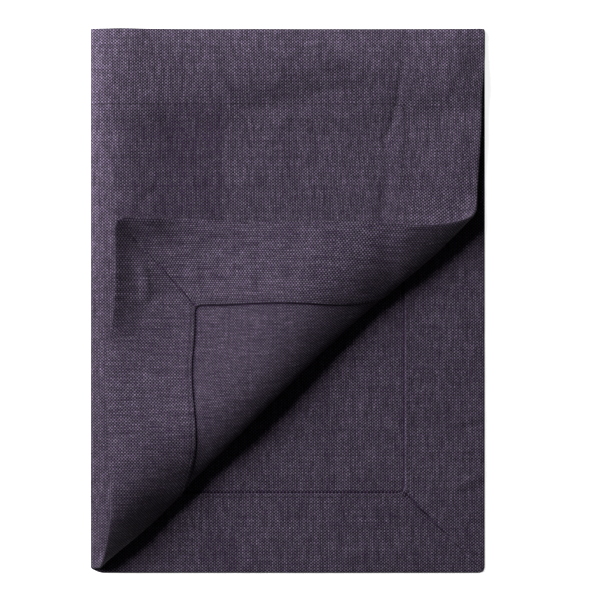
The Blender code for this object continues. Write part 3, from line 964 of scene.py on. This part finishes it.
def threads(tree, across, along, pitch, other_pitch, which):
    """Threads side by side: how high they are, how light, their numbers, and how far off their middles."""
    place = calc(tree, "DIVIDE", across, pitch)
    number = calc(tree, "FLOOR", place)
    aside = calc(tree, "SUBTRACT", calc(tree, "FRACT", place), 0.5)
    whole = add_node(tree, "ShaderNodeTexWhiteNoise", noise_dimensions="1D")
    feed(tree, whole.inputs["W"], calc(tree, "ADD", number, THREAD_SEEDS[which]))
    own = calc(tree, "MULTIPLY", whole.outputs[0], FAR_APART)
    slub = clouds(tree, vector(tree, own, calc(tree, "DIVIDE", along, SLUB_LONG)), 1.0, 1.0).outputs[0]
    slub = calc(tree, "SUBTRACT", slub, 0.5)
    half_wide = calc(tree, "MULTIPLY_ADD", slub, SLUB_WIDE, HALF_THREAD)
    off_middle = calc(tree, "POWER", calc(tree, "ABSOLUTE", calc(tree, "DIVIDE", aside, half_wide)), 2.0)
    crossing = calc(tree, "ADD", calc(tree, "DIVIDE", along, other_pitch), number)
    turn = calc(tree, "MULTIPLY", calc(tree, "ADD", crossing, which - 0.5), math.pi)
    round_top = calc(tree, "SUBTRACT", 1.0, off_middle)
    height = calc(tree, "MULTIPLY_ADD", calc(tree, "COSINE", turn), OVER_UNDER, round_top)
    light = calc(tree, "MULTIPLY_ADD", slub, SLUB_LIGHT, 1.0)
    own_light = calc(tree, "MULTIPLY_ADD", whole.outputs[0], THREAD_LIGHT, 1.0 - THREAD_LIGHT / 2)
    return height, calc(tree, "MULTIPLY", light, own_light), number, off_middle


thread_counts = [round(0.01 / pitch, 1) for pitch in (WARP_PITCH, WEFT_PITCH)]
print("threads to the centimetre, warp and weft:", thread_counts)

# %% The weave
WANDER = 0.00030  # threads don't run quite straight
WANDER_LONG = 0.007
MOTTLE_LONG = 0.030
MOTTLE_DETAIL = 4.0
MOTTLE_LIGHT = 0.14
WARP_LIGHT = 2.75  # the warp is the lighter thread
WEFT_LIGHT = 0.10
KNOT_LIGHT = 0.55  # no two crossings are alike
KNOT_RARE = 1.5  # a higher power makes bright ones rarer
KNOT_MEAN = 0.4  # of a random number to that power
COLUMN_PAINTED_SHADE = 0.45  # painted shade: the gaps between warp threads show as fine dark lines
COLUMN_MEAN = 1 / 3  # of the square of the distance off a thread's middle


def wandering(tree, cloth):
    """The cloth's u and v, bent a little, as threads wander."""
    moved = add_node(tree, "ShaderNodeVectorMath", operation="MULTIPLY_ADD")
    feed(tree, moved.inputs[0], clouds(tree, cloth, 1 / WANDER_LONG, 1.0).outputs["Color"])
    feed(tree, moved.inputs[1], (WANDER, WANDER, 0.0))
    feed(tree, moved.inputs[2], cloth)
    split = add_node(tree, "ShaderNodeSeparateXYZ")
    feed(tree, split.inputs[0], moved.outputs[0])
    return split.outputs[0], split.outputs[1]


def weave(tree):
    """How light the cloth is, random numbers for each crossing, and the height of the threads."""
    cloth = add_node(tree, "ShaderNodeUVMap", uv_map="cloth").outputs[0]
    u, v = wandering(tree, cloth)
    warp, warp_light, warp_number, off_middle = threads(tree, u, v, WARP_PITCH, WEFT_PITCH, WARP)
    weft, weft_light, weft_number, _ = threads(tree, v, u, WEFT_PITCH, WARP_PITCH, WEFT)
    on_top = calc(tree, "GREATER_THAN", warp, weft)
    own_light = calc(tree, "MULTIPLY", weft_light, warp_light)
    light = calc(tree, "MULTIPLY", own_light, pick(tree, on_top, WEFT_LIGHT, WARP_LIGHT))
    off_middle = calc(tree, "MINIMUM", off_middle, 1.0)
    # painted shade along the gaps between warp threads
    column = calc(tree, "MULTIPLY_ADD", off_middle, -COLUMN_PAINTED_SHADE, 1.0 + COLUMN_MEAN * COLUMN_PAINTED_SHADE)
    light = calc(tree, "MULTIPLY", light, column)
    mottle = clouds(tree, cloth, 1 / MOTTLE_LONG, MOTTLE_DETAIL).outputs[0]
    mottle = calc(tree, "MULTIPLY_ADD", mottle, 2 * MOTTLE_LIGHT, 1.0 - MOTTLE_LIGHT)
    light = calc(tree, "MULTIPLY", light, mottle)
    knot = add_node(tree, "ShaderNodeTexWhiteNoise", noise_dimensions="2D")
    feed(tree, knot.inputs["Vector"], vector(tree, warp_number, weft_number))
    chance = calc(tree, "POWER", knot.outputs["Value"], KNOT_RARE)
    knot_light = calc(tree, "MULTIPLY_ADD", chance, KNOT_LIGHT, 1.0 - KNOT_MEAN * KNOT_LIGHT)
    light = calc(tree, "MULTIPLY", light, knot_light)
    return light, knot.outputs["Color"], calc(tree, "MAXIMUM", warp, weft)


print("a warp thread is", round(WARP_LIGHT / WEFT_LIGHT, 1), "times as light as a weft thread")

# %% Painted shade in gaps, seams and the stitching's dip, and painted light
GAP_FROM = -0.2  # thread heights
GAP_TO = 0.9
# painted shade in the gaps between threads, where they lie low
GAP_PAINTED_SHADE = 0.06
# painted shade in the seams and under the hem's folded edge
CREVICE_PAINTED_SHADE = 0.9
CREVICE_POWER = 2.0
# how strongly the painted light and the darker tones show
LIGHT_AND_TONE_GAIN = 0.9
SEAM_IN = 0.0022  # the stitching is this far from the hem's inner fold
PUCKER_HALF = 0.0010
PUCKER_DEEP = 2.0  # thread heights
# painted shade in the dip along the stitching
PUCKER_PAINTED_SHADE = 0.30


def painted_shade_and_light(tree, light, height):
    """How light the cloth is after the painted shade in gaps, seams and the stitching's dip and the painted
    light and tone, and the height with the stitching's dip.
    """
    # painted shade in the gaps between threads
    light = calc(tree, "MULTIPLY", light, spread(tree, height, GAP_FROM, GAP_TO, GAP_PAINTED_SHADE, 1.0))
    # painted shade in the mitred seams and under the hem's folded edge
    crevice_shade = calc(tree, "POWER", point_value(tree, "crevice_shade"), CREVICE_POWER)
    light = calc(tree, "MULTIPLY", light, calc(tree, "MULTIPLY_ADD", crevice_shade, -CREVICE_PAINTED_SHADE, 1.0))
    # painted light where folds and hems face the lamp, and the darker tones
    painted_light_and_tone = calc(tree, "MULTIPLY_ADD", point_value(tree, "painted_light_and_tone"), LIGHT_AND_TONE_GAIN, 1.0)
    light = calc(tree, "MULTIPLY", light, painted_light_and_tone)
    past_seam = calc(tree, "SUBTRACT", point_value(tree, "from_edge"), HEM - SEAM_IN)
    pucker = spread(tree, calc(tree, "ABSOLUTE", past_seam), 0.0, PUCKER_HALF, 1.0, 0.0)
    height = calc(tree, "MULTIPLY_ADD", pucker, -PUCKER_DEEP, height)
    # painted shade in the stitching's dip
    light = calc(tree, "MULTIPLY", light, calc(tree, "MULTIPLY_ADD", pucker, -PUCKER_PAINTED_SHADE, 1.0))
    return light, height


print("the dip along the stitching, millimetres wide:", 2000 * PUCKER_HALF)

# %% The dye
DEEP = (0.0440, 0.0190, 0.0680)  # the dye where the cloth is painted darker: deep and saturated, a painted shade colour
PALE = (0.0324, 0.0262, 0.0386)  # and where it is painted lighter: greyer, a painted highlight colour
DEEP_LIGHT = 0.2
PALE_LIGHT = 2.2
DYE_SPREAD = 0.35  # how much it differs from one crossing to the next


def dyed(tree, light, chance):
    """The cloth's colour: from the deep shade colour to the greyer highlight colour as the painted
    lightness rises, times that lightness.
    """
    split = add_node(tree, "ShaderNodeSeparateColor")
    feed(tree, split.inputs[0], chance)
    uneven_dye = calc(tree, "MULTIPLY_ADD", split.outputs[1], DYE_SPREAD, -DYE_SPREAD / 2)
    paleness = calc(tree, "ADD", spread(tree, light, DEEP_LIGHT, PALE_LIGHT, 0.0, 1.0), uneven_dye)
    dye = add_node(tree, "ShaderNodeMix", data_type="RGBA", clamp_factor=True)
    feed(tree, dye.inputs["Factor"], paleness)
    feed(tree, dye.inputs["A"], (*DEEP, 1.0))
    feed(tree, dye.inputs["B"], (*PALE, 1.0))
    shaded = add_node(tree, "ShaderNodeVectorMath", operation="SCALE")
    feed(tree, shaded.inputs[0], dye.outputs["Result"])
    feed(tree, shaded.inputs["Scale"], light)
    return shaded.outputs[0]


print("dye, from deep to pale:", DEEP, PALE)

# %% Plum linen
THREAD_DEEP = 0.00018
LINEN_FINISH = {
    "Roughness": 0.9,
    "Specular IOR Level": 0.15,
    "Sheen Weight": 0.04,
    "Sheen Roughness": 0.5,
}


def plum_linen():
    """Matt plain-woven linen with a trace of sheen, its threads as bump."""
    material = bpy.data.materials.new("plum_linen")
    material.use_nodes = True
    tree = material.node_tree
    shader = tree.nodes["Principled BSDF"]
    light, chance, height = weave(tree)
    light, height = painted_shade_and_light(tree, light, height)
    feed(tree, shader.inputs["Base Color"], dyed(tree, light, chance))
    bump = add_node(tree, "ShaderNodeBump")
    feed(tree, bump.inputs["Distance"], THREAD_DEEP)
    feed(tree, bump.inputs["Height"], height)
    feed(tree, shader.inputs["Normal"], bump.outputs[0])
    set_inputs(shader, LINEN_FINISH)
    return material


linen = plum_linen()
sheet.data.materials.append(linen)
print("plum linen:", len(linen.node_tree.nodes), "nodes")

# %% [markdown]
# ## The line of stitching
#
# One straight line of machine stitching holds the hem down, a couple of millimetres inside its inner fold,
# and shows as the same short stitches on both sides of the cloth. Hundreds of equal things along a path
# are a job for Geometry Nodes: the path is resampled at the stitch's pitch, and one small bowed thread is
# put on every point, turned by the path's direction and by the way the cloth faces there. Modelling each
# stitch by hand would be slow to change, and bump alone would leave nothing in the exported mesh.

# %% The seam on the flat cut
SEAM_STEP = 0.0018  # the path has a point this often


def seam_on_flat():
    """The seam's corners and all the points between them, on the flat cut, once round."""
    inner, end = HEM - SEAM_IN, HALF_Y - HEM + SEAM_IN
    corners = [(inner, -end), (U_END - inner, -end), (U_END - inner, end), (inner, end), (inner, -end)]
    path = []
    for (u0, v0), (u1, v1) in zip(corners, corners[1:]):
        cells = round(max(abs(u1 - u0), abs(v1 - v0)) / SEAM_STEP)
        t = np.arange(cells)[:, None] / cells
        path.append(np.array((u0, v0)) * (1 - t) + np.array((u1, v1)) * t)
    return np.concatenate(path).T


print("the seam is about", round(SEAM_STEP * seam_on_flat().shape[1], 2), "metres long")

# %% The seam on the cloth
THREAD_THICK = 0.00042
STITCH_BOW = 0.00022  # how high the middle of a stitch stands


def seam_path(name):
    """Two closed paths, one on each side of the cloth, with the way each faces."""
    u, v = seam_on_flat()
    right, facing = right_side(u, v)
    right[:, 2] = np.maximum(right[:, 2], STITCH_BOW + THREAD_THICK / 2)
    wrong = wrong_side(u, v)
    count = len(u)
    mesh = bpy.data.meshes.new(name)
    edges = [(i + side, (i + 1) % count + side) for side in (0, count) for i in range(count)]
    mesh.from_pydata(np.concatenate([right, wrong]).tolist(), edges, [])
    layer = mesh.attributes.new("facing", "FLOAT_VECTOR", "POINT")
    layer.data.foreach_set("vector", np.concatenate([facing, -facing]).astype(np.float32).ravel())
    path = bpy.data.objects.new(name, mesh)
    bpy.context.scene.collection.objects.link(path)
    return path


stitches = seam_path("stitches")
print("the seam's path:", len(stitches.data.vertices), "points")

# %% [markdown]
# ### The thread and the stitch
#
# Sewing thread is a few plies twisted hard, so it is smoother than linen and shines a little more. The
# plies could be modelled as a rope's are, but each stitch would then need hundreds of faces, for a twist
# finer than the linen's own threads. A slanting wave in the bump is enough. The stitch itself is a round
# tube along a bowed line, with few faces, because there are hundreds of it.

# %% Thread
THREAD_COLOUR = (0.046, 0.036, 0.056, 1.0)
TWIST_LONG = 0.0006
BAND_APART = 0.3  # a wave texture's bands, at scale 1
TWIST_DEEP = 0.1  # of the thread's thickness
THREAD_FINISH = {"Base Color": THREAD_COLOUR, "Roughness": 0.6, "Specular IOR Level": 0.3}


def sewing_thread():
    """Plum thread, a little glossier than the linen, with its twist as bump."""
    material = bpy.data.materials.new("sewing_thread")
    material.use_nodes = True
    tree = material.node_tree
    shader = tree.nodes["Principled BSDF"]
    place = add_node(tree, "ShaderNodeTexCoord").outputs["Object"]
    twist = add_node(tree, "ShaderNodeTexWave", wave_type="BANDS", bands_direction="DIAGONAL")
    feed(tree, twist.inputs["Vector"], place)
    feed(tree, twist.inputs["Scale"], BAND_APART / TWIST_LONG)
    bump = add_node(tree, "ShaderNodeBump")
    feed(tree, bump.inputs["Distance"], TWIST_DEEP * THREAD_THICK)
    feed(tree, bump.inputs["Height"], twist.outputs["Fac"])
    feed(tree, shader.inputs["Normal"], bump.outputs[0])
    set_inputs(shader, THREAD_FINISH)
    return material


thread = sewing_thread()
print("sewing thread:", len(thread.node_tree.nodes), "nodes")

# %% One stitch
STITCH_PITCH = 0.0036
STITCH_LONG = 0.0028
STITCH_SIDES = 6
STITCH_CELLS = 5
STITCH_SUNK = 0.7  # of its thickness: how deep its ends go into the cloth


def one_stitch(tree, given):
    """A short round thread along X, bowed up in the middle, its ends sunk in the cloth."""
    half = calc(tree, "MULTIPLY", given["Length"], 0.5)
    sunk = calc(tree, "MULTIPLY", given["Thickness"], -STITCH_SUNK)
    top = calc(tree, "MULTIPLY_ADD", given["Bow"], 2.0, calc(tree, "ABSOLUTE", sunk))
    line = add_node(tree, "GeometryNodeCurveQuadraticBezier")
    line.inputs["Resolution"].default_value = STITCH_CELLS
    feed(tree, line.inputs["Start"], vector(tree, calc(tree, "MULTIPLY", half, -1.0), z=sunk))
    feed(tree, line.inputs["Middle"], vector(tree, 0.0, z=top))
    feed(tree, line.inputs["End"], vector(tree, half, z=sunk))
    ring = add_node(tree, "GeometryNodeCurvePrimitiveCircle", mode="RADIUS")
    ring.inputs["Resolution"].default_value = STITCH_SIDES
    feed(tree, ring.inputs["Radius"], calc(tree, "MULTIPLY", given["Thickness"], 0.5))
    tube = add_node(tree, "GeometryNodeCurveToMesh")
    feed(tree, tube.inputs["Curve"], line.outputs[0])
    feed(tree, tube.inputs["Profile Curve"], ring.outputs[0])
    tube.inputs["Fill Caps"].default_value = True
    smooth = add_node(tree, "GeometryNodeSetShadeSmooth")
    feed(tree, smooth.inputs["Geometry"], tube.outputs[0])
    return smooth.outputs[0]


print("a stitch,", 1000 * STITCH_LONG, "mm long, every", 1000 * STITCH_PITCH, "mm")

# %% The stitching tree
STITCH_INPUTS = (
    ("Pitch", STITCH_PITCH),
    ("Length", STITCH_LONG),
    ("Thickness", THREAD_THICK),
    ("Bow", STITCH_BOW),
)
STITCH_SEED = 4
STITCH_SIZES = (0.88, 1.08)  # the smallest and the largest, as shares


def vary(tree, low, high):
    """A random size for each stitch, the same every time the script runs."""
    node = add_node(tree, "FunctionNodeRandomValue", data_type="FLOAT")
    feed(tree, node.inputs[2], low)
    feed(tree, node.inputs[3], high)
    node.inputs["Seed"].default_value = STITCH_SEED
    return node.outputs[1]


def stitch_tree(material):
    """A node tree that puts a small bowed thread along a path, again and again."""
    tree = bpy.data.node_groups.new("stitching", "GeometryNodeTree")
    tree.interface.new_socket("Geometry", in_out="INPUT", socket_type="NodeSocketGeometry")
    for name, value in STITCH_INPUTS:
        socket = tree.interface.new_socket(name, in_out="INPUT", socket_type="NodeSocketFloat")
        socket.default_value = value
    tree.interface.new_socket("Geometry", in_out="OUTPUT", socket_type="NodeSocketGeometry")
    given = add_node(tree, "NodeGroupInput").outputs
    path = add_node(tree, "GeometryNodeMeshToCurve")
    feed(tree, path.inputs[0], given["Geometry"])
    points = add_node(tree, "GeometryNodeResampleCurve", mode="LENGTH")
    feed(tree, points.inputs["Curve"], path.outputs[0])
    feed(tree, points.inputs["Length"], given["Pitch"])
    facing = add_node(tree, "GeometryNodeInputNamedAttribute", data_type="FLOAT_VECTOR")
    facing.inputs["Name"].default_value = "facing"
    turned = add_node(tree, "FunctionNodeAxesToRotation", primary_axis="Z", secondary_axis="X")
    feed(tree, turned.inputs[0], facing.outputs["Attribute"])
    feed(tree, turned.inputs[1], add_node(tree, "GeometryNodeInputTangent").outputs[0])
    sewn_row = add_node(tree, "GeometryNodeInstanceOnPoints")
    feed(tree, sewn_row.inputs["Points"], points.outputs[0])
    feed(tree, sewn_row.inputs["Instance"], one_stitch(tree, given))
    feed(tree, sewn_row.inputs["Rotation"], turned.outputs[0])
    feed(tree, sewn_row.inputs["Scale"], vary(tree, *STITCH_SIZES))
    real = add_node(tree, "GeometryNodeRealizeInstances")
    feed(tree, real.inputs[0], sewn_row.outputs[0])
    coloured = add_node(tree, "GeometryNodeSetMaterial")
    feed(tree, coloured.inputs["Geometry"], real.outputs[0])
    coloured.inputs["Material"].default_value = material
    result = add_node(tree, "NodeGroupOutput")
    feed(tree, result.inputs[0], coloured.outputs[0])
    return tree


stitching = stitch_tree(thread)
print("the stitching tree:", len(stitching.nodes), "nodes")


# %% The stitches as a plain mesh
def sew(path, tree):
    """Runs the tree on the path, and keeps the result as the path's own plain mesh."""
    modifier = path.modifiers.new("stitching", "NODES")
    modifier.node_group = tree
    sockets = {item.name: item.identifier for item in tree.interface.items_tree if item.in_out == "INPUT"}
    for name, value in STITCH_INPUTS:
        modifier[sockets[name]] = value
    depsgraph = bpy.context.evaluated_depsgraph_get()
    mesh = bpy.data.meshes.new_from_object(path.evaluated_get(depsgraph), depsgraph=depsgraph)
    path.modifiers.remove(modifier)
    plain = path.data
    path.data = mesh
    bpy.data.meshes.remove(plain)


sew(stitches, stitching)
print("stitches:", len(stitches.data.polygons), "faces")

# %% [markdown]
# ## What the pieces stand for
#
# The sheet takes the place of the plain solid, which stays for collision and weight. It is one piece of
# cloth, so it goes on the one body, root, and the stitches go with it.

for piece in (sheet, stitches):
    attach(piece, "root")
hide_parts("placemat")
print("declared:", sheet.name, "with", stitches.name)

# %% [markdown]
# ## Floor, light and camera
#
# A plain pale floor and soft light show the cloth without telling a story. One large lamp stands at the
# upper left, low enough for the roll and the creases to shade themselves, and the sky fills in the rest.
# The floor glows like a light table, which keeps the shadows on it faint, but it sends no light back into
# the cloth, so the shadows there stay deep. The camera looks straight down from far off through a long
# lens, so that the rectangle stays square.

# %% Floor
FLOOR_HALF = 3.0
FLOOR_BELOW = 0.0001
FLOOR_CORNERS = ((-1, -1), (1, -1), (1, 1), (-1, 1))
WHITE = (1.0, 1.0, 1.0, 1.0)
FLOOR_FINISH = {
    "Base Color": (0.86, 0.86, 0.86, 1.0),
    "Roughness": 0.9,
    "Emission Color": WHITE,
    "Emission Strength": 0.85,
}

floor_mesh = bpy.data.meshes.new("floor")
floor_points = [(x * FLOOR_HALF, y * FLOOR_HALF, -FLOOR_BELOW) for x, y in FLOOR_CORNERS]
floor_mesh.from_pydata(floor_points, [], [(0, 1, 2, 3)])
floor = bpy.data.objects.new("floor", floor_mesh)
bpy.context.scene.collection.objects.link(floor)
floor_paint = bpy.data.materials.new("pale_floor")
floor_paint.use_nodes = True
set_inputs(floor_paint.node_tree.nodes["Principled BSDF"], FLOOR_FINISH)
floor_mesh.materials.append(floor_paint)
floor.visible_diffuse = False  # it sends no light back into the roll's shadow
print("floor, metres across:", 2 * FLOOR_HALF)

# %% Lamp and sky
LAMP_TURN = math.radians(150)
LAMP_RISE = math.radians(42)
LAMP_AWAY = 1.3
LAMP_SIZE = 0.75
LAMP_POWER = 37.5  # watts
SKY = 0.04

lamp = bpy.data.lights.new("window", "AREA")
lamp.shape = "SQUARE"
lamp.size = LAMP_SIZE
lamp.energy = LAMP_POWER
lamp_object = bpy.data.objects.new("window", lamp)
towards = Vector((math.cos(LAMP_TURN), math.sin(LAMP_TURN), math.tan(LAMP_RISE))).normalized()
lamp_object.location = towards * LAMP_AWAY
lamp_object.rotation_euler = towards.to_track_quat("Z", "Y").to_euler()
bpy.context.scene.collection.objects.link(lamp_object)
sky = bpy.data.worlds.new("sky")
sky.use_nodes = True
set_inputs(sky.node_tree.nodes["Background"], {"Color": WHITE, "Strength": SKY})
bpy.context.scene.world = sky
bpy.context.scene.view_settings.view_transform = "Standard"
print("lamp:", LAMP_POWER, "watts at", [round(c, 2) for c in lamp_object.location])

# %% Camera
CAMERA_PLACE = (0.0078, 0.0006, 1.6)
VIEW_WIDE = 0.384  # metres across the picture, at the surface
camera = bpy.data.cameras.new("camera")
camera.lens = camera.sensor_width * CAMERA_PLACE[2] / VIEW_WIDE
camera_object = bpy.data.objects.new("camera", camera)
camera_object.location = CAMERA_PLACE
bpy.context.scene.collection.objects.link(camera_object)
bpy.context.scene.camera = camera_object
print("lens, mm:", round(camera.lens, 1))
